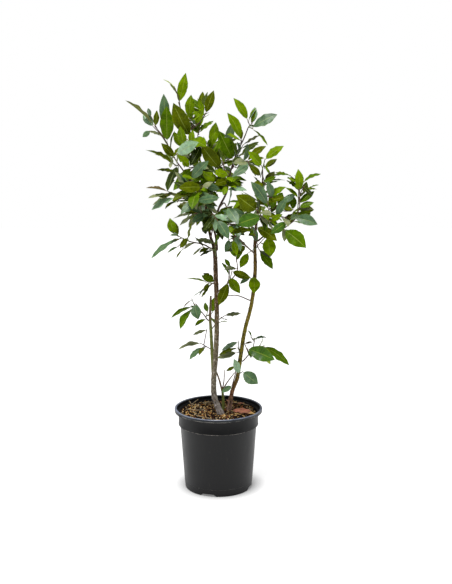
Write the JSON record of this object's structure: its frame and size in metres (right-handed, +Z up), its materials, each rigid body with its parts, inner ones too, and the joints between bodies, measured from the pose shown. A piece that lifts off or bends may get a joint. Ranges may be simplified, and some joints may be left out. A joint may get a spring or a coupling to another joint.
{
  "type": "potted bay laurel",
  "caption": "Young bay laurel shrub with two main stems, open leafy shoots and glossy pointed leaves, standing in a round black nursery pot filled with bark soil.",
  "frame": {"origin": "middle of the pot's flat underside", "axes": "+Z up along the pot's axis, -Y towards the plant's good side, +X to the right of a viewer who looks at that side"},
  "size_m": [0.5102, 0.4038, 1.1105],
  "materials": {
    "black_plastic": "satin black moulded plastic",
    "bark_soil": "loose composted bark",
    "grey_bark": "grey-brown living bark",
    "green_bark": "young green bark",
    "laurel_foliage": "glossy leathery leaves on thin twigs"
  },
  "bodies": {
    "root": {"bough_back_left": "grey_bark", "bough_back_middle": "grey_bark", "bough_back_right": "grey_bark", "bough_back_top": "grey_bark", "bough_front_left": "grey_bark", "bough_front_middle": "grey_bark", "bough_low_left": "grey_bark", "bough_mid_left": "grey_bark", "bough_right": "grey_bark", "bough_upper_left": "grey_bark", "cut_shoot": "green_bark", "foliage_arch": "laurel_foliage", "foliage_back_left": "laurel_foliage", "foliage_back_middle": "laurel_foliage", "foliage_back_right": "laurel_foliage", "foliage_back_top": "laurel_foliage", "foliage_centre_blue": "laurel_foliage", "foliage_centre_bright": "laurel_foliage", "foliage_centre_low": "laurel_foliage", "foliage_centre_top": "laurel_foliage", "foliage_far_left": "laurel_foliage", "foliage_far_right": "laurel_foliage", "foliage_foot": "laurel_foliage", "foliage_foot_left": "laurel_foliage", "foliage_front_left": "laurel_foliage", "foliage_front_low": "laurel_foliage", "foliage_front_middle": "laurel_foliage", "foliage_front_right": "laurel_foliage", "foliage_green_left": "laurel_foliage", "foliage_green_low": "laurel_foliage", "foliage_left_green": "laurel_foliage", "foliage_left_middle": "laurel_foliage", "foliage_low_left": "laurel_foliage", "foliage_low_left_inner": "laurel_foliage", "foliage_low_middle": "laurel_foliage", "foliage_low_right": "laurel_foliage", "foliage_mid_left": "laurel_foliage", "foliage_middle_big": "laurel_foliage", "foliage_middle_drop": "laurel_foliage", "foliage_middle_left": "laurel_foliage", "foliage_middle_low": "laurel_foliage", "foliage_middle_right": "laurel_foliage", "foliage_middle_top": "laurel_foliage", "foliage_right_blue": "laurel_foliage", "foliage_right_hang": "laurel_foliage", "foliage_right_inner": "laurel_foliage", "foliage_right_low": "laurel_foliage", "foliage_right_top": "laurel_foliage", "foliage_round": "laurel_foliage", "foliage_second_left": "laurel_foliage", "foliage_stem_side": "laurel_foliage", "foliage_top": "laurel_foliage", "foliage_top_front": "laurel_foliage", "foliage_top_right": "laurel_foliage", "leader_middle": "grey_bark", "pot": "black_plastic", "soil": "bark_soil", "stem_green": "green_bark", "stem_left": "grey_bark", "stem_right": "grey_bark"}
  },
  "joints": []
}
